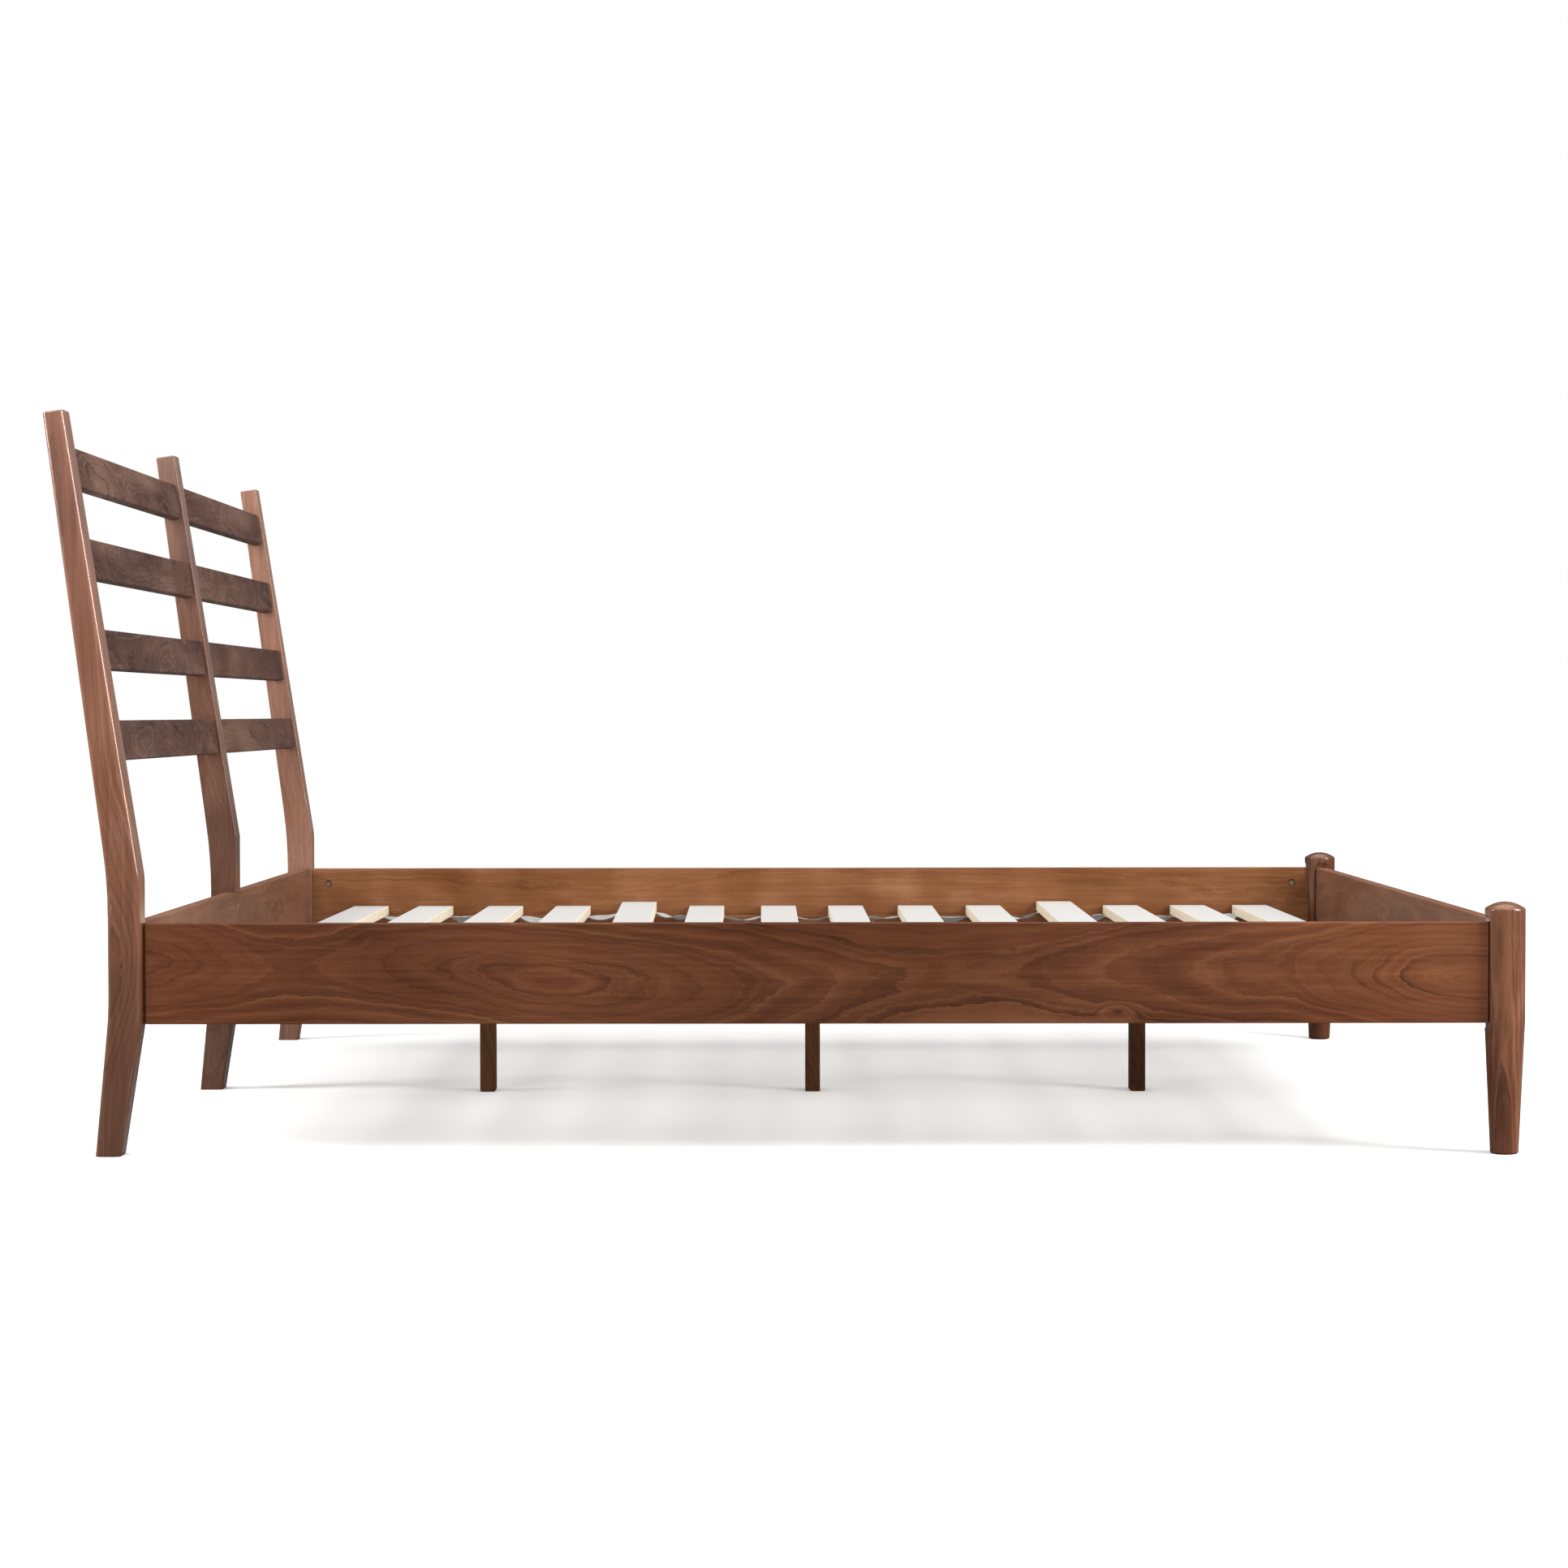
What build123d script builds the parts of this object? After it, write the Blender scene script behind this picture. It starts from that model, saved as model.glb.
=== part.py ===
from build123d import *
import math
import os

# Queen-size slatted bed with a ladder headboard whose posts sweep back.
# Millimetres, +Z up.  Origin on the floor under the middle of the overall
# length and width.  Head of the bed towards -X, foot towards +X.
# "left" is -Y and "right" is +Y: left and right of someone standing at the
# foot and looking at the headboard.

os.makedirs("parts", exist_ok=True)

# ---------------------------------------------------------------- main sizes
mattress_length = 2032.0
mattress_width = 1524.0
mattress_end_clearance = 7.0
mattress_side_clearance = 24.0

rail_bottom = 197.0
rail_height = 151.5
rail_thickness = 22.0
rail_top = rail_bottom + rail_height
rail_edge_radius = 2.0
head_reveal = 4.5
foot_reveal = 2.0
reveal_depth = 6.0

inner_length = mattress_length + mattress_end_clearance
inner_width = mattress_width + mattress_side_clearance
inner_y = inner_width / 2
rail_mid_y = inner_y + rail_thickness / 2

# ----------------------------------------------------------- headboard posts
post_height = 1117.0
post_depth = 49.5
outer_post_width = 40.0
centre_post_width = 40.0
centre_post_setback = 4.5
post_front_kink = 419.0
post_front_slope = 0.1567
post_back_kink = 408.0
post_back_slope = 0.1305
post_foot_back_kink = 214.0
post_foot_back_slope = 0.0958
post_foot_front_slope = 0.1600
post_outer_radius = 9.0
post_inner_radius = 2.5
post_top_radius = 2.0
back_curve_radius = 850.0
front_curve_radius = 110.0

# ----------------------------------------------------------- headboard rungs
rung_count = 4
rung_height = 60.0
rung_thickness = 19.0
rung_setback = 6.0
rung_pitch = 137.0
top_rung_drop = 53.5
rung_edge_radius = 2.0
rung_tenon_length = 18.0
rung_tenon_thickness = 11.0
rung_tenon_height = 46.0

# ------------------------------------------------------------------ foot legs
leg_height = 379.0
leg_diameter = 60.0
leg_foot_diameter = 42.0
leg_taper_start = 200.0
leg_taper_blend = 320.0
leg_dome_rise = 9.0
leg_dome_edge_radius = 4.0
leg_foot_radius = 4.0
leg_flat_depth = 4.5
leg_flat_overrun_top = 16.0
leg_flat_overrun_bottom = 9.0
leg_run_out_radius = 16.0
leg_radius = leg_diameter / 2
leg_flat_offset = leg_radius - leg_flat_depth

# ------------------------------------------------------------- end rail fits
head_rail_setback = centre_post_setback
end_tenon_length = 20.0
end_tenon_thickness = 12.0
end_tenon_height = 50.0
joint_slack = 0.2

# ------------------------------------------------- slats, ledgers and webbing
slat_count = 14
slat_width = 70.0
slat_thickness = 19.0
slat_end_gap = 3.0
slat_first_gap = 90.5
slat_last_gap = 99.0
slat_edge_radius = 1.5
# Slats are laid by hand along the webbing: each is a few mm off an even
# pitch at its right end, and some lie slightly askew (degrees about +Z).
slat_wander = (0, -6, -1, -1, -4, -4, 4, 3, 7, 8, 14, 12, 11, 0)
slat_skew = (0, 0, 0, 0.4, 1.5, 0.8, 0.6, 0.5, 0.1, 0.1, -0.5, 0, 0, 0)
raised_slats = (5, 11)
packer_thickness = 8.0
packer_width = 40.0
ledger_top = 253.8
ledger_height = 30.0
ledger_width = 22.0
ledger_end_gap = 75.0
strap_width = 25.0
strap_thickness = 1.6
strap_inset = 50.0
strap_sag = 5.0

# ------------------------------------------------------ centre beam and legs
beam_width = 25.0
beam_height = 52.0
beam_side_slack = 0.5
centre_leg_count = 3
centre_leg_pitch = 570.0
centre_leg_length_x = 26.0
centre_leg_width_y = 40.0
centre_leg_edge_radius = 3.0
centre_leg_top_drop = 9.0
bracket_gauge = 2.0
bracket_seat = 30.0
bracket_wing = 24.0

# ------------------------------------------------------------------ fasteners
bolt_diameter = 8.0
bolt_hole_diameter = 8.6
bolt_head_diameter = 16.0
bolt_head_height = 5.0
bolt_counterbore = 7.0
barrel_diameter = 12.0
barrel_hole_diameter = 12.4
barrel_seat_diameter = 15.6
barrel_length = 16.0
barrel_recess = 2.2
barrel_chamfer = 1.0
barrel_socket_diameter = 3.6
barrel_socket_depth = 2.4
barrel_from_end = 33.0
upper_bolt_drop = 31.0
lower_bolt_rise = 31.0
screw_diameter = 5.0
screw_head_diameter = 9.0
screw_head_height = 3.0
screw_hole_slack = 0.3

# --------------------------------------------------- positions along the bed
foot_step = leg_flat_offset - rail_thickness / 2
side_rail_length = inner_length - head_rail_setback - foot_step
# The top of a post is cut square to its lean, so its back corner is lower.
post_top_thickness = (post_depth - (post_height - post_front_kink) * post_front_slope
                      + (post_height - post_back_kink) * post_back_slope)
post_axis_lean = math.atan((post_front_slope + post_back_slope) / 2)
post_back_height = post_height - post_top_thickness * math.sin(post_axis_lean) * math.cos(post_axis_lean)
post_lean = post_depth + (post_back_height - post_back_kink) * post_back_slope
overall_length = post_lean + side_rail_length + leg_flat_offset + leg_radius
post_front = -overall_length / 2 + post_lean
rail_foot_end = post_front + side_rail_length
leg_x = rail_foot_end + leg_flat_offset
head_face = post_front - head_rail_setback
foot_face = leg_x - rail_thickness / 2
rail_mid_x = (post_front + rail_foot_end) / 2
beam_top = ledger_top
beam_bottom = beam_top - beam_height
upper_bolt_z = rail_top - upper_bolt_drop
lower_bolt_z = rail_bottom + lower_bolt_rise
end_tenon_z = (upper_bolt_z + lower_bolt_z) / 2


def block(x0, x1, y0, y1, z0, z1):
    """Solid box between opposite corners."""
    size = (abs(x1 - x0), abs(y1 - y0), abs(z1 - z0))
    middle = ((x0 + x1) / 2, (y0 + y1) / 2, (z0 + z1) / 2)
    return Pos(*middle) * Box(*size)


def rod(axis, start, length, radius):
    """Cylinder from a start point along X, Y or Z (length may be negative)."""
    middle = list(start)
    middle["XYZ".index(axis)] += length / 2
    turn = {"X": Rot(0, 90, 0), "Y": Rot(90, 0, 0), "Z": Rot(0, 0, 0)}[axis]
    return Pos(*middle) * turn * Cylinder(radius, abs(length))


def ease(shape, radius, pick=None):
    """Round the chosen edges (all of them when no choice is given)."""
    edges = shape.edges() if pick is None else shape.edges().filter_by(pick)
    return fillet(edges, radius)


def save(name, *shapes):
    """Write one node: a single solid, or a group of separate solids."""
    solids = []
    for shape in shapes:
        solids.extend(shape.solids())
    node = solids[0] if len(solids) == 1 else Compound(children=solids)
    node.label = name
    export_step(node, f"parts/{name}.step")


# ------------------------------------------------------------ headboard posts
def front_x(z, setback=0.0):
    """X of the post's front face at a height in the leaning upper part."""
    return post_front - (z - post_front_kink) * post_front_slope - setback


def post_outline(setback):
    """Side view of a post: straight foot kick, upright middle, leaning top."""
    back = post_front - post_depth
    kink_up = post_front_kink + setback / post_front_slope
    foot_kink = rail_bottom
    top_front = (front_x(post_height), post_height)
    back_top_x = back - (post_back_height - post_back_kink) * post_back_slope
    foot_back_x = back - post_foot_back_kink * post_foot_back_slope
    foot_front_x = post_front - setback - foot_kink * post_foot_front_slope
    points = [
        (foot_front_x, 0.0),
        (post_front - setback, foot_kink),
        (post_front - setback, kink_up),
        top_front,
        (back_top_x, post_back_height),
        (back, post_back_kink),
        (back, post_foot_back_kink),
        (foot_back_x, 0.0),
    ]
    outline = Polyline(*points, close=True)
    face = make_face(outline)

    bends = ((1, front_curve_radius), (2, front_curve_radius), (5, back_curve_radius),
             (6, back_curve_radius * 0.7))
    for bend, radius in bends:
        corner = face.vertices().sort_by_distance((*points[bend], 0))[0]
        face = fillet(corner, radius)
    return face


def post_blank(y_from, width, setback):
    """Post profile drawn in XZ and extruded along +Y from y_from."""
    face = post_outline(setback)
    flat = Plane(origin=(0, y_from + width, 0), x_dir=(1, 0, 0), z_dir=(0, -1, 0))
    return extrude(flat * face, width)


def long_edges(solid, y_plane):
    """Edges lying in a plane of constant Y, without the end cuts."""
    picked = []
    for edge in solid.edges():
        box = edge.bounding_box()
        in_plane = abs(box.min.Y - y_plane) < 0.01 and abs(box.max.Y - y_plane) < 0.01
        if in_plane and box.size.Z > 25:
            picked.append(edge)
    return picked


def rung_frame(index):
    """Place on the leaning headboard: rung mid-height, local Z up the lean."""
    top = post_height - top_rung_drop - index * rung_pitch
    lean = math.degrees(math.atan(post_front_slope))
    mid_z = top - rung_height * math.cos(math.radians(lean)) / 2
    face_x = front_x(mid_z) - rung_setback / math.cos(math.radians(lean))
    centre = face_x - rung_thickness / 2 / math.cos(math.radians(lean))
    return Location((centre, 0, mid_z), (0, -lean, 0))


def rung_tenons(index, y0, y1, slack):
    """Tenon block from y0 to y1 with slack all round (mortise when slack > 0)."""
    tenon = Box(rung_tenon_thickness + 2 * slack, y1 - y0, rung_tenon_height + 2 * slack)
    return rung_frame(index) * Pos(0, (y0 + y1) / 2, 0) * tenon


def end_tenon(x_mid, y0, y1, slack):
    """Tenon of a head or foot rail, set between the two rail bolts."""
    half_x = end_tenon_thickness / 2 + slack
    half_z = end_tenon_height / 2 + slack
    return block(x_mid - half_x, x_mid + half_x, y0, y1, end_tenon_z - half_z, end_tenon_z + half_z)


head_mid_x = head_face - rail_thickness / 2
foot_mid_x = leg_x
bolt_levels = (upper_bolt_z, lower_bolt_z)
post_back = post_front - post_depth

for side, sign in (("left", -1), ("right", 1)):
    inner = sign * inner_y
    outer = sign * (inner_y + outer_post_width)
    post = post_blank(min(inner, outer), outer_post_width, 0.0)
    post = fillet(long_edges(post, outer), post_outer_radius)
    post = fillet(long_edges(post, inner), post_inner_radius)
    post = fillet(post.faces().sort_by(Axis.Z)[-1].edges(), post_top_radius)
    for index in range(rung_count):
        deep = inner + sign * (rung_tenon_length + 0.5)
        post -= rung_tenons(index, min(inner - sign, deep), max(inner - sign, deep), joint_slack)
    deep = inner + sign * (end_tenon_length + 0.5)
    post -= end_tenon(head_mid_x, min(inner - sign, deep), max(inner - sign, deep), joint_slack)
    for level in bolt_levels:
        mid = sign * rail_mid_y
        post -= rod("X", (post_back - 1, mid, level), post_depth + 2, bolt_hole_diameter / 2)
        post -= rod("X", (post_back - 1, mid, level), bolt_counterbore + 1, bolt_head_diameter / 2 + 0.3)
    save(f"head_post_{side}", post)

centre_post = post_blank(-centre_post_width / 2, centre_post_width, 0.0)
centre_post -= block(head_face, post_front + 5, -centre_post_width, centre_post_width,
                     rail_bottom, post_height / 2)
centre_post = fillet(
    long_edges(centre_post, centre_post_width / 2) + long_edges(centre_post, -centre_post_width / 2),
    post_inner_radius)
centre_post = fillet(centre_post.faces().sort_by(Axis.Z)[-1].edges(), post_top_radius)
centre_post -= block(head_face - rail_thickness, post_front + 5, -centre_post_width, centre_post_width,
                     rail_bottom, rail_top)
for index in range(rung_count):
    for sign in (-1, 1):
        near = sign * (centre_post_width / 2 + 1)
        deep = sign * (centre_post_width / 2 - rung_tenon_length + 0.5)
        centre_post -= rung_tenons(index, min(near, deep), max(near, deep), joint_slack)
centre_screw_levels = (rail_top - 25.0, rail_bottom + 25.0)
centre_screw_length = 40.0
for level in centre_screw_levels:
    centre_post -= rod("X", (head_face + 1, 0, level), -centre_screw_length - 1.5,
                       screw_diameter / 2 + screw_hole_slack)
save("head_post_center", centre_post)

# ------------------------------------------------------------ headboard rungs
for side, sign in (("left", -1), ("right", 1)):
    near = sign * centre_post_width / 2
    far = sign * inner_y
    low = min(near, far)
    high = max(near, far)
    for index in range(rung_count):
        board = Box(rung_thickness, high - low, rung_height)
        board = fillet(board.edges(), rung_edge_radius)
        board = rung_frame(index) * Pos(0, (low + high) / 2, 0) * board
        inner_tip = near - sign * (rung_tenon_length - 1.0)
        outer_tip = far + sign * rung_tenon_length
        board += rung_tenons(index, min(inner_tip, outer_tip), max(inner_tip, outer_tip), 0.0)
        save(f"headboard_rung_{side}_{index + 1}", board)

# ------------------------------------------------------- head and foot rails
head_rail = block(head_face - rail_thickness, head_face, -inner_y, inner_y, rail_bottom, rail_top)
head_rail = ease(head_rail, rail_edge_radius, Axis.Y)
head_tip = inner_y + end_tenon_length
head_rail += end_tenon(head_mid_x, -head_tip, head_tip, 0.0)
for level in centre_screw_levels:
    head_rail -= rod("X", (head_face + 1, 0, level), -rail_thickness - 2,
                     screw_diameter / 2 + screw_hole_slack)
    head_rail -= rod("X", (head_face + 1, 0, level), -screw_head_height - 1.3, screw_head_diameter / 2 + 0.2)

foot_shoulder = rail_mid_y - leg_flat_offset
foot_rail = block(foot_face, foot_face + rail_thickness, -foot_shoulder, foot_shoulder, rail_bottom, rail_top)
foot_rail = ease(foot_rail, rail_edge_radius, Axis.Y)
foot_tip = foot_shoulder + end_tenon_length
foot_rail += end_tenon(foot_mid_x, -foot_tip, foot_tip, 0.0)

# ----------------------------------------------------------------- side rails
bolt_length_head = post_depth - bolt_counterbore + barrel_from_end + barrel_diameter / 2
leg_seat_x = leg_x + leg_radius - bolt_counterbore
bolt_length_foot = leg_seat_x - rail_foot_end + barrel_from_end + barrel_diameter / 2
head_barrel_x = post_front + barrel_from_end
foot_barrel_x = rail_foot_end - barrel_from_end
ledger_x0 = post_front + ledger_end_gap
ledger_x1 = rail_foot_end - ledger_end_gap
ledger_screw_count = 8
ledger_screw_z = ledger_top - ledger_height / 2
ledger_screw_length = ledger_width + 13.0
ledger_screw_step = (ledger_x1 - ledger_x0 - 80.0) / (ledger_screw_count - 1)
ledger_screw_xs = [ledger_x0 + 40.0 + ledger_screw_step * i for i in range(ledger_screw_count)]

bolts = []
barrels = []
ledger_screws = []
for side, sign in (("left", -1), ("right", 1)):
    inner = sign * inner_y
    outer = sign * (inner_y + rail_thickness)
    mid = sign * rail_mid_y
    rail = block(post_front, rail_foot_end, inner, outer, rail_bottom, rail_top)
    rail = fillet(rail.edges().filter_by(Axis.X), rail_edge_radius)
    # A rebate at each end of the outer face leaves a shadow line at the post and the leg.
    groove_y = outer - sign * reveal_depth
    rail -= block(post_front - 1, post_front + head_reveal, groove_y, outer + sign,
                  rail_bottom - 1, rail_top + 1)
    rail -= block(rail_foot_end - foot_reveal, rail_foot_end + 1, groove_y, outer + sign,
                  rail_bottom - 1, rail_top + 1)
    ledger = block(ledger_x0, ledger_x1, inner, inner - sign * ledger_width,
                   ledger_top - ledger_height, ledger_top)
    ledger = fillet(ledger.edges().filter_by(Axis.X), 1.5)
    for level in bolt_levels:
        for start, end, barrel_x in (
                (post_front, head_barrel_x, head_barrel_x), (rail_foot_end, foot_barrel_x, foot_barrel_x)):
            reach = (end - start) + math.copysign(barrel_diameter / 2 + 1.0, end - start)
            rail -= rod("X", (start, mid, level), reach, bolt_hole_diameter / 2)
            hole_depth = barrel_length + barrel_recess
            rail -= rod("Y", (barrel_x, inner, level), sign * hole_depth, barrel_hole_diameter / 2)
            rail -= rod("Y", (barrel_x, inner - sign, level), sign * (barrel_recess + 1),
                        barrel_seat_diameter / 2)
            nut_face = (barrel_x, inner + sign * barrel_recess, level)
            nut = rod("Y", nut_face, sign * barrel_length, barrel_diameter / 2)
            nut = chamfer(nut.edges().sort_by(Axis.Y)[0 if sign > 0 else -1], barrel_chamfer)
            nut -= rod("X", (barrel_x - 12, mid, level), 24, bolt_diameter / 2)
            nut -= rod("Y", nut_face, sign * barrel_socket_depth, barrel_socket_diameter / 2)
            barrels.append(nut)
        head_seat = post_back + bolt_counterbore
        bolt = rod("X", (head_seat, mid, level), bolt_length_head, bolt_diameter / 2)
        bolt += rod("X", (head_seat, mid, level), -bolt_head_height, bolt_head_diameter / 2)
        bolt -= rod("X", (head_seat - bolt_head_height, mid, level), 3.0, 3.0)
        bolts.append(bolt)
        bolt = rod("X", (leg_seat_x, mid, level), -bolt_length_foot, bolt_diameter / 2)
        bolt += rod("X", (leg_seat_x, mid, level), bolt_head_height, bolt_head_diameter / 2)
        bolt -= rod("X", (leg_seat_x + bolt_head_height, mid, level), -3.0, 3.0)
        bolts.append(bolt)
    for x in ledger_screw_xs:
        face_y = inner - sign * ledger_width
        hole = rod("Y", (x, face_y - sign, ledger_screw_z), sign * (ledger_screw_length + 2),
                   screw_diameter / 2 + screw_hole_slack)
        sink = rod("Y", (x, face_y - sign, ledger_screw_z), sign * (screw_head_height + 1.2),
                   screw_head_diameter / 2 + 0.2)
        ledger -= hole + sink
        rail -= hole
        screw = rod("Y", (x, face_y + sign * 0.2, ledger_screw_z), sign * ledger_screw_length,
                    screw_diameter / 2)
        screw += rod("Y", (x, face_y + sign * 0.2, ledger_screw_z), sign * screw_head_height,
                     screw_head_diameter / 2)
        ledger_screws.append(screw)
    save(f"side_rail_{side}", rail)
    save(f"slat_ledger_{side}", ledger)
save("rail_bolts", *bolts)
save("barrel_nuts", *barrels)
save("ledger_screws", *ledger_screws)

# ------------------------------------------------------------------ foot legs
shoulder = leg_height - leg_dome_rise
edge = leg_dome_edge_radius
edge_foot = (leg_radius, shoulder - edge)
edge_head = (leg_radius - edge, shoulder + 0.3 * edge)
edge_mid = (leg_radius - 0.26 * edge, shoulder - 0.20 * edge)
cap_rise = leg_height - edge_head[1]
cap_radius = (edge_head[0] ** 2 + cap_rise ** 2) / (2 * cap_rise)
half_turn = math.asin(edge_head[0] / cap_radius) / 2
dome_mid = (cap_radius * math.sin(half_turn), leg_height - cap_radius * (1 - math.cos(half_turn)))
leg_outline = Polyline((0, leg_height), (0, 0), (leg_foot_diameter / 2, 0), (leg_radius, leg_taper_start),
                       edge_foot)
leg_outline += ThreePointArc(edge_foot, edge_mid, edge_head)
leg_outline += ThreePointArc(edge_head, dome_mid, (0, leg_height))
leg_face = make_face(leg_outline)
leg_face = fillet(leg_face.vertices().sort_by_distance((leg_radius, leg_taper_start, 0))[0], leg_taper_blend)
leg_face = fillet(leg_face.vertices().sort_by_distance((leg_foot_diameter / 2, 0, 0))[0], leg_foot_radius)
turned_leg = revolve(Plane.XZ * leg_face, Axis.Z)


def flat_cut(direction):
    """Cutter for a flat on the leg, with a scooped run-out above the rail."""
    low = rail_bottom - leg_flat_overrun_bottom
    high = rail_top
    slab = block(leg_flat_offset, leg_radius + 10, -leg_radius, leg_radius, low, high)
    scoop_x = leg_flat_offset + leg_run_out_radius
    scoop = rod("Y", (scoop_x, -leg_radius, high), leg_diameter, leg_run_out_radius)
    return Rot(0, 0, direction) * (slab + scoop)


for side, sign in (("left", -1), ("right", 1)):
    mid = sign * rail_mid_y
    leg = turned_leg - flat_cut(180) - flat_cut(-90 * sign)
    leg = Pos(leg_x, mid, 0) * leg
    shoulder_y = mid - sign * leg_flat_offset
    deep = shoulder_y + sign * (end_tenon_length + 0.5)
    leg -= end_tenon(foot_mid_x, min(shoulder_y - sign, deep), max(shoulder_y - sign, deep), joint_slack)
    for level in bolt_levels:
        leg -= rod("X", (leg_x - leg_radius, mid, level), leg_diameter + 2, bolt_hole_diameter / 2)
        leg -= rod("X", (leg_seat_x, mid, level), bolt_counterbore + 8, bolt_head_diameter / 2 + 0.3)
    save(f"foot_leg_{side}", leg)

# ------------------------------------------------------ centre beam and legs
beam_x0 = head_face + bracket_gauge
beam_x1 = foot_face - bracket_gauge
beam = block(beam_x0, beam_x1, -beam_width / 2, beam_width / 2, beam_bottom, beam_top)
beam = fillet(beam.edges().filter_by(Axis.X), 2.0)
leg_side_y = -beam_width / 2
leg_screw_length = centre_leg_width_y + 16.0
centre_leg_screws = []
for number in range(centre_leg_count):
    x = rail_mid_x + (number - (centre_leg_count - 1) / 2) * centre_leg_pitch
    prop = block(x - centre_leg_length_x / 2, x + centre_leg_length_x / 2,
                 leg_side_y - centre_leg_width_y, leg_side_y, 0, beam_top - centre_leg_top_drop)
    prop = fillet(prop.edges().filter_by(Axis.Z), centre_leg_edge_radius)
    prop = fillet(prop.faces().sort_by(Axis.Z)[0].edges(), centre_leg_edge_radius * 0.8)
    for level in (beam_bottom + 12.0, beam_top - 18.0):
        face_y = leg_side_y - centre_leg_width_y
        hole = rod("Y", (x, face_y - 1, level), leg_screw_length + 2.5, screw_diameter / 2 + screw_hole_slack)
        sink = rod("Y", (x, face_y - 1, level), screw_head_height + 1.2, screw_head_diameter / 2 + 0.2)
        prop -= hole + sink
        beam -= hole
        screw = rod("Y", (x, face_y + 0.2, level), leg_screw_length, screw_diameter / 2)
        screw += rod("Y", (x, face_y + 0.2, level), screw_head_height, screw_head_diameter / 2)
        centre_leg_screws.append(screw)
    save(f"center_leg_{number + 1}", prop)
save("center_leg_screws", *centre_leg_screws)
save("center_beam", beam)

# ---------------------------------------------- hangers that carry the beam
bracket_screws = []
bracket_half = beam_width / 2 + beam_side_slack + bracket_gauge
bracket_screw_length = 18.0
rails = {"head": head_rail, "foot": foot_rail}
for end, face_x, sign in (("head", head_face, 1), ("foot", foot_face, -1)):
    plate_x = face_x + sign * bracket_gauge
    seat_x = face_x + sign * (bracket_gauge + bracket_seat)
    top = beam_top - 3.0
    low = beam_bottom - bracket_gauge
    hanger = block(face_x, plate_x, -bracket_half - bracket_wing, bracket_half + bracket_wing, low, top)
    hanger += block(face_x, seat_x, -bracket_half, bracket_half, low, beam_bottom)
    for cheek in (-1, 1):
        y0 = cheek * bracket_half
        hanger += block(face_x, seat_x, y0 - cheek * bracket_gauge, y0, low, top)
        for level in (low + 15.0, top - 12.0):
            y = cheek * (bracket_half + bracket_wing / 2)
            start = (face_x + sign * (bracket_gauge + 1), y, level)
            hole = rod("X", start, -sign * (bracket_gauge + bracket_screw_length + 2),
                       screw_diameter / 2 + screw_hole_slack)
            hanger -= hole
            rails[end] -= hole
            seat = (plate_x, y, level)
            screw = rod("X", seat, -sign * (bracket_screw_length + bracket_gauge), screw_diameter / 2)
            screw += rod("X", seat, sign * screw_head_height, screw_head_diameter / 2)
            bracket_screws.append(screw)
    save(f"beam_bracket_{end}", hanger)
save("bracket_screws", *bracket_screws)
save("head_rail", rails["head"])
save("foot_rail", rails["foot"])

centre_screws = []
for level in centre_screw_levels:
    screw = rod("X", (head_face - 0.3, 0, level), -centre_screw_length, screw_diameter / 2)
    screw += rod("X", (head_face - 0.3, 0, level), -screw_head_height, screw_head_diameter / 2)
    centre_screws.append(screw)
save("center_post_screws", *centre_screws)

# ----------------------------------------------- slats, packers and webbing
slat_first_x = head_face + slat_first_gap
slat_last_x = foot_face - slat_last_gap - slat_width
slat_pitch = (slat_last_x - slat_first_x) / (slat_count - 1)
slat_half = inner_y - slat_end_gap
strap_mid_y = inner_y - strap_inset
tack_shank = 1.8
tack_head = 6.0
tack_head_height = 1.0
tack_length = 10.0
packers = []
tacks = []
slat_places = []
for index in range(slat_count):
    right_end_x = slat_first_x + slat_pitch * index + slat_wander[index] + slat_width / 2
    centre_x = right_end_x + slat_half * math.tan(math.radians(slat_skew[index]))
    lift = packer_thickness if index + 1 in raised_slats else 0.0
    slat_places.append((centre_x, slat_skew[index], ledger_top + lift))


def slat_x(index, y):
    """X of a slat's centre line at a distance y from the bed's middle."""
    centre_x, skew, _ = slat_places[index]
    return centre_x - y * math.tan(math.radians(skew))


for index, (centre_x, skew, under) in enumerate(slat_places):
    slat = Box(slat_width, 2 * slat_half, slat_thickness)
    slat = fillet(slat.edges().filter_by(Axis.Y), slat_edge_radius)
    slat = Pos(centre_x, 0, under + slat_thickness / 2) * Rot(0, 0, skew) * slat
    for sign in (-1, 1):
        y = sign * strap_mid_y
        start = (slat_x(index, y), y, under - strap_thickness)
        tack = rod("Z", start, tack_length, tack_shank / 2)
        tack += rod("Z", start, -tack_head_height, tack_head / 2)
        tacks.append(tack)
        slat -= rod("Z", start, tack_length, tack_shank / 2)
    save(f"bed_slat_{index + 1:02d}", slat)
    if index + 1 in raised_slats:
        for y, width in ((inner_y - ledger_width / 2, ledger_width), (0.0, beam_width),
                         (-inner_y + ledger_width / 2, ledger_width)):
            x = slat_x(index, y)
            packers.append(block(x - packer_width / 2, x + packer_width / 2, y - width / 2 + 1,
                                 y + width / 2 - 1, ledger_top, under))
save("slat_packers", *packers)
save("strap_tacks", *tacks)


def strap_line(y):
    """Top line of a webbing strap: flat under each slat, sagging between."""
    points = []
    last = slat_count - 1
    for index in range(slat_count):
        under = slat_places[index][2]
        middle = slat_x(index, y)
        start = middle - slat_width / 2 + (0.0 if index else 8.0)
        finish = middle + slat_width / 2 - (0.0 if index < last else 8.0)
        points += [(start, under), (finish, under)]
        if index < last:
            next_x = slat_x(index + 1, y) - slat_width / 2
            next_under = slat_places[index + 1][2]
            for step in range(1, 6):
                t = step / 6
                level = under + (next_under - under) * t - strap_sag * math.sin(math.pi * t)
                points.append((finish + (next_x - finish) * t, level))
    return points


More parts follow.
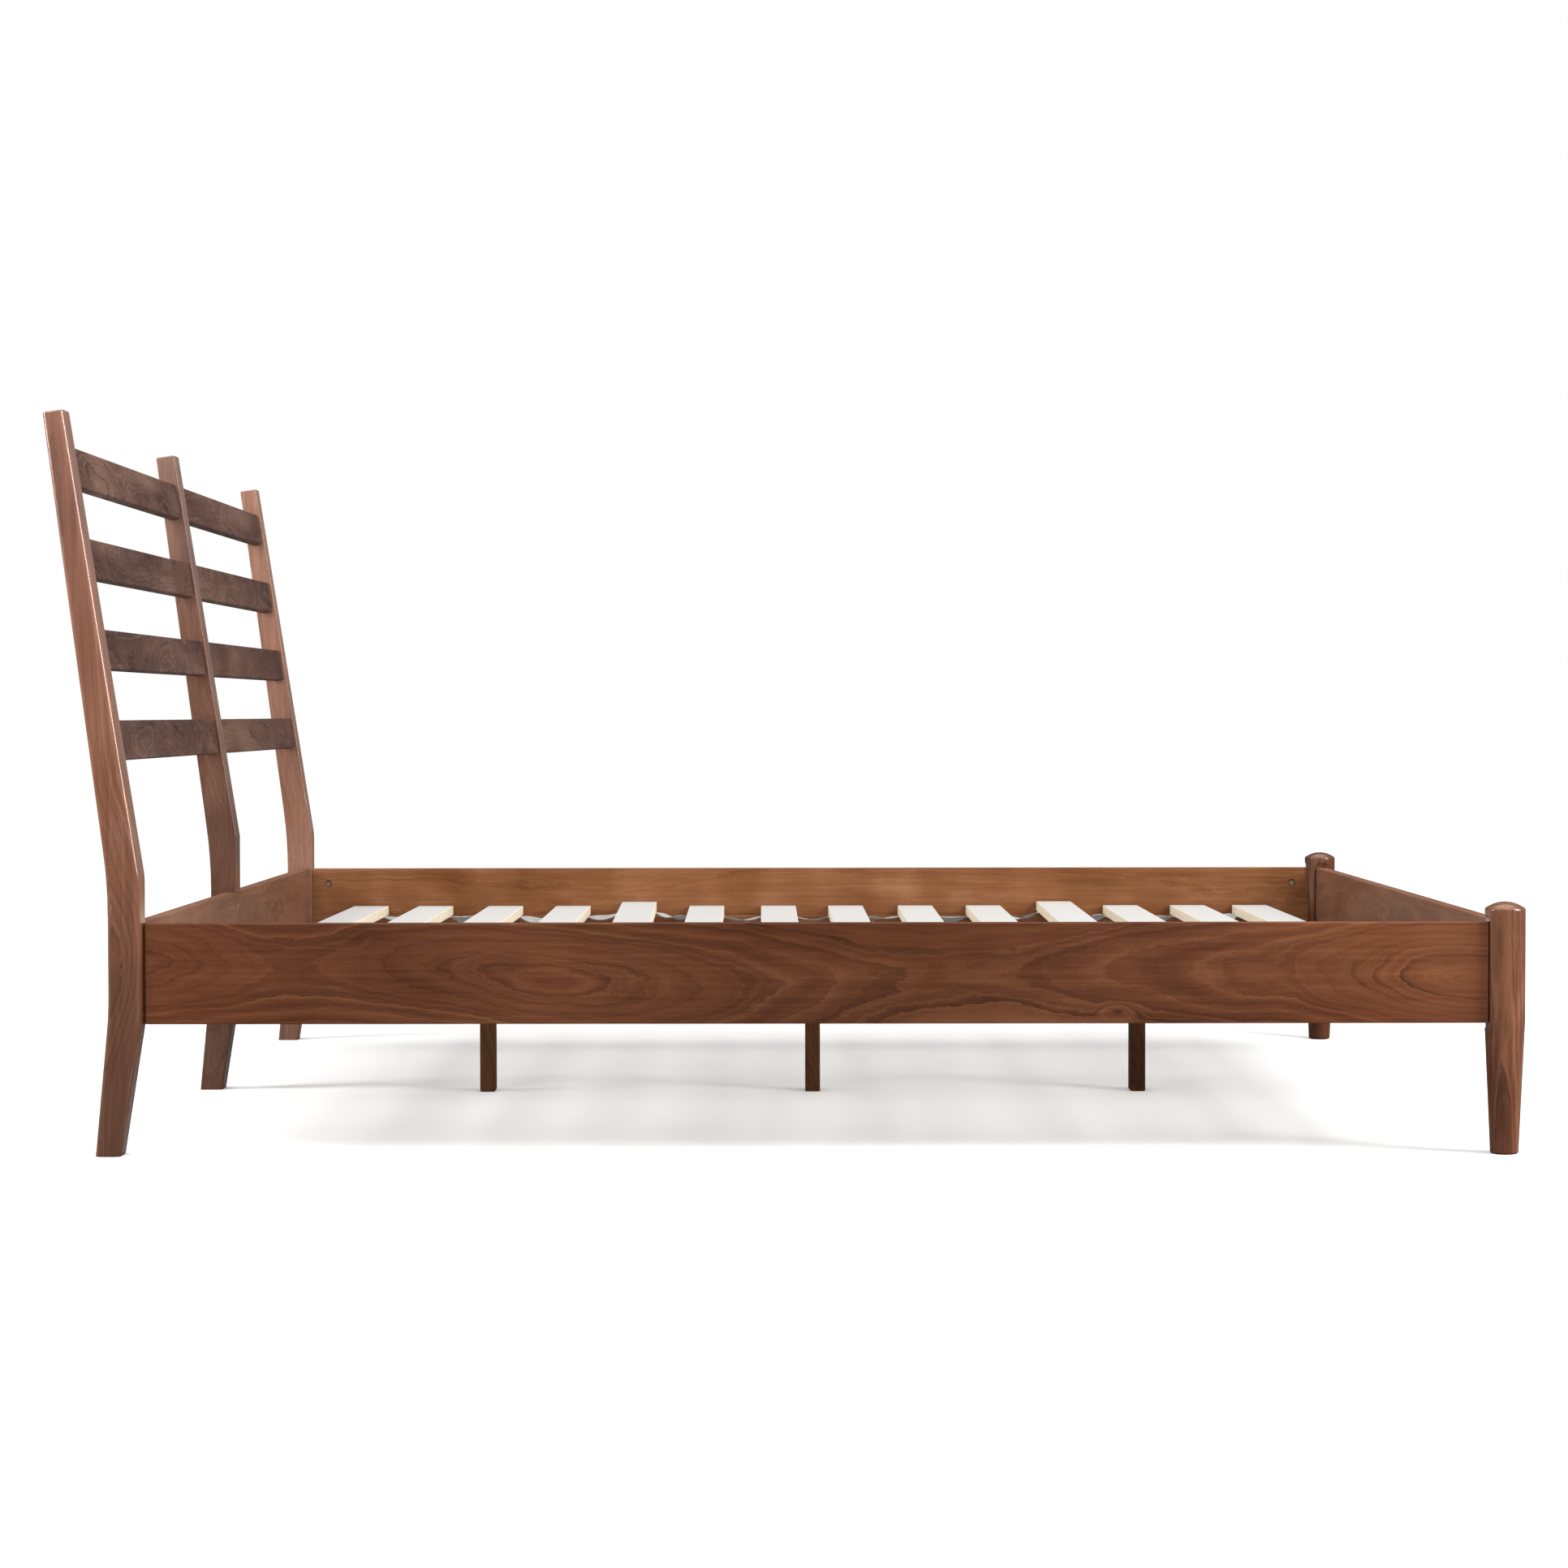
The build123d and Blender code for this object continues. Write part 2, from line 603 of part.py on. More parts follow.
for side, sign in (("left", -1), ("right", 1)):
    y = sign * strap_mid_y
    upper_line = strap_line(y)
    lower_line = [(px, pz - strap_thickness) for px, pz in reversed(upper_line)]
    strap_face = make_face(Polyline(*upper_line, *lower_line, close=True))
    flat = Plane(origin=(0, y + strap_width / 2, 0), x_dir=(1, 0, 0), z_dir=(0, -1, 0))
    strap = extrude(flat * strap_face, strap_width)
    for index in range(slat_count):
        start = (slat_x(index, y), y, slat_places[index][2] - strap_thickness - 1)
        strap -= rod("Z", start, strap_thickness + 2, tack_shank / 2)
    save(f"slat_strap_{side}", strap)
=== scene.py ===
import math

import bpy
import numpy as np
from mathutils import Matrix, Vector


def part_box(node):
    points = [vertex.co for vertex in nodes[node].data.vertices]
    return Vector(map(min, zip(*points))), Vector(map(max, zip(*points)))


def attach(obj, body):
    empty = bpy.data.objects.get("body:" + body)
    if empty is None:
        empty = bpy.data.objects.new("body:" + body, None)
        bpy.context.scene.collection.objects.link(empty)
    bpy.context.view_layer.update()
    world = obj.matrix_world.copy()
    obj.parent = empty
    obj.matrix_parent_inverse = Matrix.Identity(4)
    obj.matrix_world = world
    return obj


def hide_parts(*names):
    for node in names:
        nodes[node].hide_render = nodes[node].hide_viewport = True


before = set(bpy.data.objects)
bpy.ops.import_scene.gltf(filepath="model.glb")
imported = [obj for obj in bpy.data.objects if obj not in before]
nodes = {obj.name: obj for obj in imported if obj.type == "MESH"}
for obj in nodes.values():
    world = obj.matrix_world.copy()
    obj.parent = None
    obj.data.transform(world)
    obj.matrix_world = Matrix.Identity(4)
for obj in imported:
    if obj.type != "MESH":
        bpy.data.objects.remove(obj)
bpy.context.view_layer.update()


# ---------------------------------------------------------------------------
# Camera: stands on the near side of the bed, two thirds of a metre above the
# floor and level with the middle of its length, its long lens tipped slightly
# down.
camera_place = (0.0098, -5.2379, 0.6641)
camera_turn = math.radians(-0.179)
camera_tip = math.radians(1.381)
camera_roll = math.radians(0.082)


def aim(turn, tip, roll):
    """Camera rotation from a turn to the right of +Y, a tip below level and a
    clockwise roll, all in radians."""
    forward = Vector((math.sin(turn) * math.cos(tip), math.cos(turn) * math.cos(tip), -math.sin(tip)))
    side = Vector((math.cos(turn), -math.sin(turn), 0.0))
    down = forward.cross(side)
    right = side * math.cos(roll) + down * math.sin(roll)
    drop = down * math.cos(roll) - side * math.sin(roll)
    return Matrix((right, -drop, -forward)).transposed().to_euler()


camera_data = bpy.data.cameras.new("camera")
camera_data.lens = 68.13
camera_data.sensor_width = 36.0
camera_data.dof.use_dof = False
camera = bpy.data.objects.new("camera", camera_data)
camera.location = camera_place
camera.rotation_euler = aim(camera_turn, camera_tip, camera_roll)
bpy.context.scene.collection.objects.link(camera)
bpy.context.scene.camera = camera


# ---------------------------------------------------------------------------
# Studio: a pale matt floor that runs out of sight under a white surround, a
# broad soft light from above, upright panels beyond the foot and the head, and
# a small one on the camera's side of the headboard.
def grid_sheet(name, rows, columns, point):
    """Mesh of a rows by columns grid of points; point(u, v) takes arrays of
    both parameters from 0 to 1 and returns x, y and z arrays."""
    v, u = np.meshgrid(np.linspace(0, 1, rows), np.linspace(0, 1, columns), indexing="ij")
    x, y, z = point(u.ravel(), v.ravel())
    start = (np.arange(rows - 1)[:, None] * columns + np.arange(columns - 1)[None, :]).ravel()
    faces = np.stack([start, start + 1, start + columns + 1, start + columns], 1)
    mesh = bpy.data.meshes.new(name)
    mesh.from_pydata(np.stack([x, y, z], 1).tolist(), [], faces.tolist())
    thing = bpy.data.objects.new(name, mesh)
    bpy.context.scene.collection.objects.link(thing)
    return thing


floor_width = 60.0
floor = grid_sheet("floor", 2, 2, lambda u, v: (floor_width * (u - 0.5), floor_width * (v - 0.5), 0 * u))
floor_bounce = 0.42
floor_mirrored = 0.12
floor_seen = 0.9
floor_paint = bpy.data.materials.new("floor_paint")
floor_paint.use_nodes = True
floor_tree = floor_paint.node_tree
floor_shader = floor_tree.nodes["Principled BSDF"]
floor_shader.inputs["Roughness"].default_value = 0.9
floor_shader.inputs["Specular IOR Level"].default_value = 0.1
floor_ray = floor_tree.nodes.new("ShaderNodeLightPath")
floor_tone = (floor_bounce, floor_bounce, floor_bounce, 1)
for ray, tone in (("Is Glossy Ray", floor_mirrored), ("Is Camera Ray", floor_seen)):
    chosen = floor_tree.nodes.new("ShaderNodeMix")
    chosen.data_type = "RGBA"
    if isinstance(floor_tone, tuple):
        chosen.inputs[6].default_value = floor_tone
    else:
        floor_tree.links.new(floor_tone, chosen.inputs[6])
    chosen.inputs[7].default_value = (tone, tone, tone, 1)
    floor_tree.links.new(floor_ray.outputs[ray], chosen.inputs[0])
    floor_tone = chosen.outputs[2]
floor_tree.links.new(floor_tone, floor_shader.inputs["Base Color"])
floor.data.materials.append(floor_paint)

surround_light = 0.46
mirrored_light = 0.22
world = bpy.data.worlds.new("studio")
world.use_nodes = True
world_tree = world.node_tree
backdrop = world_tree.nodes["Background"]
backdrop.inputs["Color"].default_value = (1, 1, 1, 1)
backdrop.inputs["Strength"].default_value = 1.0
surround = world_tree.nodes.new("ShaderNodeBackground")
surround.inputs["Color"].default_value = (1, 1, 1, 1)
seen = world_tree.nodes.new("ShaderNodeLightPath")
dimmer = world_tree.nodes.new("ShaderNodeMath")
dimmer.operation = "MULTIPLY_ADD"
dimmer.inputs[1].default_value = mirrored_light - surround_light
dimmer.inputs[2].default_value = surround_light
world_tree.links.new(seen.outputs["Is Glossy Ray"], dimmer.inputs[0])
world_tree.links.new(dimmer.outputs[0], surround.inputs["Strength"])
chooser = world_tree.nodes.new("ShaderNodeMixShader")
world_tree.links.new(seen.outputs["Is Camera Ray"], chooser.inputs[0])
world_tree.links.new(surround.outputs[0], chooser.inputs[1])
world_tree.links.new(backdrop.outputs[0], chooser.inputs[2])
world_tree.links.new(chooser.outputs[0], world_tree.nodes["World Output"].inputs[0])
bpy.context.scene.world = world
bpy.context.scene.view_settings.view_transform = "Standard"


def soft_lamp(name, place, target, size, power):
    """Area lamp, size wide and high, at a place and turned to face a target."""
    data = bpy.data.lights.new(name, "AREA")
    data.shape = "RECTANGLE"
    data.size, data.size_y = size
    data.energy = power
    lamp = bpy.data.objects.new(name, data)
    lamp.location = place
    lamp.rotation_euler = (Vector(target) - Vector(place)).to_track_quat("-Z", "Y").to_euler()
    bpy.context.scene.collection.objects.link(lamp)


soft_lamp("foot_key", (3.6, -1.8, 2.2), (-0.9, -0.4, 0.7), (1.3, 2.6), 230)
soft_lamp("head_rim", (-4.2, -0.7, 2.1), (-0.9, 0.0, 0.5), (1.0, 2.4), 160)
soft_lamp("head_key", (-1.8, -3.0, 2.5), (-1.05, -0.8, 0.9), (1.0, 1.0), 30)

ceiling = bpy.data.lights.new("ceiling", "SUN")
ceiling.energy = 2.4
ceiling.angle = math.radians(80)
bpy.context.scene.collection.objects.link(bpy.data.objects.new("ceiling", ceiling))


# ---------------------------------------------------------------------------
# Headboard posts: three lengths of solid walnut, sawn to a back-swept curve,
# rounded on their outer corners and lacquered to a satin.  Grain runs up the
# post.  They stay as the frame made them and get their finish here.
class Wire:
    """One output of a node.  Sums, products and powers of wires and numbers
    become Math nodes."""

    def __init__(self, finish, socket):
        self.finish = finish
        self.socket = socket

    def maths(self, operation, *values):
        """This wire put through a Math node with the values that follow it."""
        return self.finish.node("ShaderNodeMath", {"operation": operation}, dict(enumerate((self, *values))))

    def __add__(self, other):
        return self.maths("ADD", other)

    def __sub__(self, other):
        return self.maths("SUBTRACT", other)

    def __rsub__(self, other):
        return (self * -1.0) + other

    def __mul__(self, other):
        return self.maths("MULTIPLY", other)

    def __truediv__(self, other):
        return self.maths("DIVIDE", other)

    def __pow__(self, other):
        return self.maths("POWER", other)

    __radd__ = __add__

    def ramp(self, low, high):
        """0 below low, 1 above high, smooth between."""
        return self.finish.node("ShaderNodeMapRange", {"interpolation_type": "SMOOTHSTEP", "clamp": True},
                                {"Value": self, "From Min": low, "From Max": high})


class Finish:
    """The node tree of one material, ending in a Principled shader."""

    def __init__(self, name):
        self.material = bpy.data.materials.new(name)
        self.material.use_nodes = True
        self.tree = self.material.node_tree
        self.tree.nodes.clear()
        self.shader = self.tree.nodes.new("ShaderNodeBsdfPrincipled")
        output = self.tree.nodes.new("ShaderNodeOutputMaterial")
        self.tree.links.new(self.shader.outputs[0], output.inputs[0])

    def put(self, node, values):
        """Set or link each named or numbered input of a node."""
        for key, value in values.items():
            if isinstance(value, Wire):
                self.tree.links.new(value.socket, node.inputs[key])
            else:
                node.inputs[key].default_value = value

    def node(self, kind, settings=None, values=None, output=0):
        """Any node: its settings first, then its inputs; gives one output."""
        made = self.tree.nodes.new(kind)
        for key, value in (settings or {}).items():
            if key == "smooth":
                made.color_ramp.interpolation = value
            elif key == "stops":
                while len(made.color_ramp.elements) < len(value):
                    made.color_ramp.elements.new(1.0)
                for element, (place, colour) in zip(made.color_ramp.elements, value):
                    element.position = place
                    element.color = (*colour, 1.0)
            else:
                setattr(made, key, value)
        self.put(made, values or {})
        return Wire(self, made.outputs[output])

    def surface(self, **values):
        """Inputs of the Principled shader, with _ for the space in a name."""
        self.put(self.shader, {key.replace("_", " "): value for key, value in values.items()})

    def place(self):
        """The piece's own coordinates in metres."""
        return self.node("ShaderNodeTexCoord", output="Object")

    def stretch(self, spot, scales):
        """A place with each direction scaled, for streaks along the grain."""
        return self.node("ShaderNodeVectorMath", {"operation": "MULTIPLY"}, {0: spot, 1: scales})

    def noise(self, spot, scales, detail=2.0, rough=0.5, twist=0.0):
        """Soft noise from 0 to 1 at a number of blots per metre each way."""
        return self.node("ShaderNodeTexNoise", {"noise_dimensions": "3D"},
                         {"Vector": self.stretch(spot, scales), "Scale": 1.0, "Detail": detail,
                          "Roughness": rough, "Distortion": twist})

    def line_noise(self, place, detail, rough=0.5):
        """Noise from 0 to 1 along a single wire."""
        return self.node("ShaderNodeTexNoise", {"noise_dimensions": "1D"},
                         {"W": place, "Scale": 1.0, "Detail": detail, "Roughness": rough})

    def colour_noise(self, spot, scales, detail):
        """Three soft noises about zero from one node."""
        noise = self.node("ShaderNodeTexNoise", {"noise_dimensions": "3D"},
                          {"Vector": self.stretch(spot, scales), "Scale": 1.0, "Detail": detail}, output=1)
        return [part - 0.5 for part in self.split(noise)]

    def split(self, spot):
        """X, Y and Z of a place as three wires."""
        parts = self.tree.nodes.new("ShaderNodeSeparateXYZ")
        self.tree.links.new(spot.socket, parts.inputs[0])
        return [Wire(self, socket) for socket in parts.outputs]

    def blend(self, factor, first, second):
        """Mix of two colours."""
        first = (*first, 1.0) if isinstance(first, tuple) else first
        second = (*second, 1.0) if isinstance(second, tuple) else second
        return self.node("ShaderNodeMix", {"data_type": "RGBA"}, {0: factor, 6: first, 7: second}, output=2)


def linear(red, green, blue):
    """Screen colour from 0 to 255 as linear light."""
    return tuple(((c / 255 + 0.055) / 1.055) ** 2.4 if c > 10 else c / 3294.6 for c in (red, green, blue))


def walnut(name, colours, grain, span, face, path, rings, wander, lines=1.0, patches=0.5,
           streaks=0.5, curl=0.15, knots=(), sense=1.0, gloss=0.40, shine=0.12, coat=0.0):
    """Satin walnut.  Growth rings are shells round the heart of the log, so
    at any point of the board their number is its distance from the heart line
    over the ring width.  path gives that line as (share of the span, place
    across the face, depth below it), face the middle of the face and span the
    ends of the board along its grain.  sense is 1 if the heart lies towards
    - from the face and -1 if towards +.  A fourth number in path brightens
    or darkens the board there; on the posts and rungs it is painted light and
    shade, the posts brighter towards their tops and the lower and farther
    rungs darker.  Where it brightens past 1 the colour also turns greyer, a
    painted sheen.
    Each ring darkens towards its end and stops in a thin line; fibres,
    streaks, pores, slow blotches and curl across the grain lie over."""
    finish = Finish(name)
    reach = 0.2  # metres that 0 to 1 of the heart line's ramp stands for
    x, y, z = finish.split(finish.place())
    along, across, deep = {"x": (x, z, y), "y": (y, z, x), "z": (z, x, y)}[grain]
    spot = finish.node("ShaderNodeCombineXYZ", None, {0: along, 1: across, 2: deep})
    slow = finish.colour_noise(spot, (2.6, 9.0, 9.0), 2.0)
    mid = finish.colour_noise(spot, (14.0, 34.0, 34.0), 3.0)
    fray = finish.noise(spot, (45.0, 110.0, 110.0), 4.0, 0.65) - 0.5
    share = (along + slow[2] * (wander * 6.0) - span[0]) / (span[1] - span[0])
    # The heart ramp's blue carries half the fourth number of each station: painted light and shade on the
    # posts and rungs.
    stops = [(u, ((c + reach / 2) / reach, d / reach, (tone or [1.0])[0] / 2)) for u, c, d, *tone in path]
    heart = finish.node("ShaderNodeValToRGB", {"smooth": "CARDINAL", "stops": stops}, {"Fac": share})
    heart_side, heart_deep, tone_and_painted_light = finish.split(heart)
    side = across - face[0] - (heart_side * reach - reach / 2) + slow[0] * wander * 2.0 + mid[0] * wander
    below = heart_deep * reach + (deep - face[1]) * sense + slow[1] * wander * 2.0 + mid[1] * wander
    dark, middle, light = colours
    ring = ((side * side + below * below).maths("SQRT") + fray * (wander * 0.55)) / rings
    for along_knot, across_knot, size in knots:
        away_a = (along - along_knot) * (0.45 / size)
        away_b = (across - across_knot) / size
        away = away_a * away_a + away_b * away_b
        ring = ring + (away * -1.0).maths("EXPONENT") * 3.0
    ring = ring + finish.line_noise(ring * 0.31, 1.0) * 2.0
    grades = finish.line_noise(ring * 1.7, 6.0, 0.72)
    phase = ring.maths("FRACT")
    late = phase ** 4.0 * (1.0 - phase.ramp(0.955, 1.0))
    bold = finish.line_noise(ring.maths("FLOOR") * 5.17, 0.0)
    broken = finish.noise(spot, (3.4, 16.0, 16.0), 2.0)
    late = late * bold.ramp(0.42, 0.72) * (broken.ramp(0.34, 0.62) * 0.9 + 0.1)
    blotch = finish.noise(spot, (2.4, 9.0, 9.0), 3.0, 0.55, 0.35)
    band = finish.noise(spot, (10.0, 4.0, 4.0), 1.0)
    streak = finish.noise(spot, (3.5, 150.0, 150.0), 4.0, 0.68)
    fibre = finish.noise(spot, (26.0, 750.0, 750.0), 2.0, 0.6)
    tone = (0.5 + (grades - 0.5) * (0.7 * lines) + (blotch - 0.5) * patches
            + (band - 0.5) * curl + (streak - 0.5) * (0.7 * streaks) + (fibre - 0.5) * 0.22)
    tint = finish.node("ShaderNodeValToRGB", {"stops": [(0.25, dark), (0.5, middle), (0.75, light)]},
                       {"Fac": tone})
    warm = finish.noise(spot, (1.3, 4.0, 4.0), 1.0).ramp(0.38, 0.68)
    tint = finish.blend(warm * 0.30, tint, (middle[0] * 1.10, middle[1] * 0.92, middle[2] * 0.70))
    tint = finish.blend((late * lines).maths("MINIMUM", 0.92), tint, tuple(0.45 * c for c in dark))
    pore = finish.noise(spot, (75.0, 1700.0, 1700.0), 1.0).ramp(0.64, 0.72)
    tint = finish.blend(pore * 0.32, tint, tuple(0.45 * c for c in dark))
    for along_knot, across_knot, size in knots:
        away_a = (along - along_knot) * (1.1 / size)
        away_b = (across - across_knot) * (2.4 / size)
        away = away_a * away_a + away_b * away_b
        tint = finish.blend((away * -1.0).maths("EXPONENT") * 0.75, tint, tuple(0.35 * c for c in dark))
    # Scale the colour by that fourth number, painted light and shade on the posts and rungs; past 1 blend
    # towards a pale grey, a painted sheen on the bright post tops.
    tint = finish.node("ShaderNodeVectorMath", {"operation": "SCALE"}, {0: tint, "Scale": tone_and_painted_light * 2.0})
    tint = finish.blend((tone_and_painted_light - 0.5).maths("MAXIMUM", 0.0), tint, linear(166, 148, 146))
    height = fibre * 0.25 - pore * 0.7 - late * 0.25
    bump = finish.node("ShaderNodeBump", None, {"Strength": 0.12, "Distance": 0.0004, "Height": height})
    finish.surface(Base_Color=tint, Roughness=gloss + (streak - 0.5) * 0.10 + pore * 0.15, Normal=bump,
                   Specular_IOR_Level=shine, Coat_Weight=coat, Coat_Roughness=0.19)
    return finish.material


def dress(material, *names):
    """Give each named piece of the frame this material in every slot."""
    for name in names:
        for slot in nodes[name].material_slots:
            slot.material = material


def reach_of(name, axis):
    """Lowest and highest place of a piece along X, Y or Z."""
    low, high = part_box(name)
    return low["xyz".index(axis)], high["xyz".index(axis)]


# The fourth number of each station is painted light: the post is scaled brighter from its foot to its top.
post_path = [(0.0, -0.06, 0.035, 0.50), (0.12, -0.05, 0.03, 0.58), (0.25, -0.02, 0.022, 0.78),
             (0.36, -0.03, 0.034, 0.91), (0.5, -0.07, 0.04, 1.01), (0.75, -0.10, 0.04, 1.14),
             (1.0, -0.14, 0.045, 1.22)]
post_middle = -0.99
near_colours = (linear(84, 51, 35), linear(124, 80, 58), linear(156, 114, 92))
near_post_knots = ((0.2874, -0.995, 0.004), (0.418, -1.008, 0.002))
dress(walnut("post_left_walnut", near_colours, "z", reach_of("head_post_left", "z"),
             (post_middle, reach_of("head_post_left", "y")[0]), post_path, rings=0.0095, wander=0.004,
             lines=0.8, patches=0.7, streaks=0.6, knots=near_post_knots, gloss=0.26, shine=0.2, coat=0.8),
      "head_post_left")
# Here too the fourth numbers are painted light, brighter towards the top of the centre post.
centre_path = [(0.0, -0.03, 0.06, 0.64), (0.3, -0.02, 0.03, 0.72), (0.45, -0.03, 0.025, 0.76),
               (0.7, -0.09, 0.04, 1.0), (1.0, -0.13, 0.05, 1.25)]
centre_colours = (linear(74, 50, 40), linear(110, 76, 61), linear(142, 104, 86))
centre_post_face = -0.02
dress(walnut("post_center_walnut", centre_colours, "z", reach_of("head_post_center", "z"),
             (post_middle, centre_post_face), centre_path, rings=0.0090, wander=0.012, lines=0.7,
             patches=1.1, streaks=0.4, curl=0.3, gloss=0.34, shine=0.2, coat=0.5), "head_post_center")
# far_path keeps the heart line of post_path with its own painted light, brighter towards the top of the far
# post.
far_path = [(u, c, d, 0.70 + 0.35 * u) for u, c, d, _ in post_path]
far_colours = (linear(104, 70, 56), linear(140, 100, 82), linear(170, 130, 110))
dress(walnut("post_right_walnut", far_colours, "z", reach_of("head_post_right", "z"),
             (post_middle, reach_of("head_post_right", "y")[1]), far_path, rings=0.0085, wander=0.005,
             lines=0.7, patches=0.6, streaks=0.5, gloss=0.34, shine=0.2, coat=0.5), "head_post_right")


# ---------------------------------------------------------------------------
# Headboard rungs: eight flat walnut boards, four to a bay, tenoned into the
# posts.  Their figure is quieter and greyer, with soft swirls.
rung_colours = (linear(63, 44, 38), linear(98, 72, 63), linear(128, 98, 85))
draw = np.random.default_rng(5)
for side in ("left", "right"):
    for row in (1, 2, 3, 4):
        name = f"headboard_rung_{side}_{row}"
        low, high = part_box(name)
        # shade is painted shade: the left rungs darken row by row downwards and the right bay is darker
        # still, carried as the fourth number of each station.
        shade = draw.uniform(0.88, 0.98) - 0.05 * row if side == "left" else draw.uniform(0.72, 0.82)
        path = [(u, draw.uniform(-0.03, 0.03), draw.uniform(0.02, 0.09), shade)
                for u in np.linspace(0, 1, 6)]
        dress(walnut(f"rung_{side}_{row}_walnut", rung_colours, "y", (low.y, high.y),
                     ((low.z + high.z) / 2, high.x), path, rings=0.0105, wander=0.020, patches=1.1,
                     streaks=0.25, curl=0.35, gloss=0.45, shine=0.06), name)


# ---------------------------------------------------------------------------
# Rails: four wide walnut boards bolted or tenoned between the posts and the
# foot legs.  The near side rail shows long flat-sawn arches: a tongue that
# closes a third of the way along, and arches that crowd towards the foot.
rail_colours = (linear(78, 41, 25), linear(105, 62, 39), linear(131, 83, 54))
rail_middle = sum(reach_of("side_rail_left", "z")) / 2
near_path = [(0.0, 0.016, 0.044, 0.97), (0.06, 0.010, 0.066, 0.93), (0.11, 0.006, 0.078, 0.89),
             (0.17, 0.014, 0.068, 0.87), (0.24, 0.010, 0.054, 0.86), (0.31, -0.010, 0.046, 0.84),
             (0.38, -0.020, 0.058, 0.77), (0.45, -0.022, 0.080, 0.71), (0.52, -0.016, 0.104, 0.69),
             (0.60, -0.006, 0.116, 0.71), (0.70, 0.002, 0.104, 0.80), (0.80, 0.004, 0.088, 0.88),
             (0.86, 0.004, 0.076, 0.95), (0.93, 0.0, 0.038, 1.00), (1.0, -0.006, 0.0, 1.02)]
near_rail_knots = ((0.495, 0.215, 0.009),)
dress(walnut("side_rail_left_walnut", rail_colours, "x", reach_of("side_rail_left", "x"),
             (rail_middle, reach_of("side_rail_left", "y")[0]), near_path, rings=0.0125, wander=0.0100,
             lines=0.92, patches=0.6, streaks=0.6, knots=near_rail_knots, sense=-1.0, gloss=0.42,
             shine=0.10), "side_rail_left")
inner_colours = (linear(96, 57, 29), linear(124, 81, 52), linear(150, 106, 77))
calm_path = [(0.0, -0.02, 0.10), (0.3, 0.01, 0.12), (0.6, 0.03, 0.11), (1.0, 0.0, 0.12)]
dress(walnut("side_rail_right_walnut", inner_colours, "x", reach_of("side_rail_right", "x"),
             (rail_middle, reach_of("side_rail_right", "y")[0]), calm_path, rings=0.009, wander=0.012,
             lines=0.4, patches=0.75, streaks=0.6, curl=0.55), "side_rail_right")
end_colours = (linear(80, 52, 38), linear(111, 76, 58), linear(134, 97, 78))
for name, number in (("head_rail", 1), ("foot_rail", 0)):
    dress(walnut(f"{name}_walnut", end_colours, "y", reach_of(name, "y"),
                 (rail_middle, reach_of(name, "x")[number]), calm_path, rings=0.008, wander=0.010,
                 lines=0.5, patches=0.6, gloss=0.42, shine=0.06), name)


# ---------------------------------------------------------------------------
# Foot legs: walnut turned round, domed on top and tapered to the floor, with
# flats where the rails butt against them.  Grain runs up the leg.
leg_colours = (linear(58, 29, 14), linear(90, 50, 28), linear(136, 88, 60))
leg_path = [(0.0, -0.014, 0.020, 0.94), (0.3, -0.018, 0.030, 1.0), (0.55, -0.022, 0.038, 0.96),
            (0.8, -0.03, 0.034, 0.84), (1.0, -0.036, 0.028, 0.76)]
for side in ("left", "right"):
    name = f"foot_leg_{side}"
    low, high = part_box(name)
    dress(walnut(f"leg_{side}_walnut", leg_colours, "z", (low.z, high.z), ((low.x + high.x) / 2, low.y),
                 leg_path, rings=0.0130, wander=0.006, lines=0.85, patches=1.3, gloss=0.30,
                 shine=0.15, coat=0.7), name)


# ---------------------------------------------------------------------------
# Centre legs: short oblong walnut props screwed to the side of the beam.
prop_colours = (linear(58, 35, 18), linear(88, 56, 34), linear(112, 76, 48))
for number in (1, 2, 3):
    name = f"center_leg_{number}"
    low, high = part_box(name)
    dress(walnut(f"prop_{number}_walnut", prop_colours, "z", (low.z, high.z), ((low.x + high.x) / 2, low.y),
                 leg_path, rings=0.0060, wander=0.005, lines=0.8, patches=0.8, streaks=0.9,
                 gloss=0.45), name)


# ---------------------------------------------------------------------------
# Ledgers along the side rails, in matching walnut, and the softwood beam
# under the middle of the slats.
for name in ("slat_ledger_left", "slat_ledger_right"):
    low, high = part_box(name)
    dress(walnut(f"{name}_walnut", inner_colours, "x", (low.x, high.x), ((low.z + high.z) / 2, low.y),
                 calm_path, rings=0.006, wander=0.006, lines=0.6, streaks=0.6, gloss=0.45), name)
beam_colours = (linear(150, 112, 74), linear(186, 148, 106), linear(206, 172, 130))
low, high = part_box("center_beam")
dress(walnut("beam_softwood", beam_colours, "x", (low.x, high.x), ((low.z + high.z) / 2, low.y), calm_path,
             rings=0.004, wander=0.006, lines=0.9, patches=0.3, gloss=0.55), "center_beam")


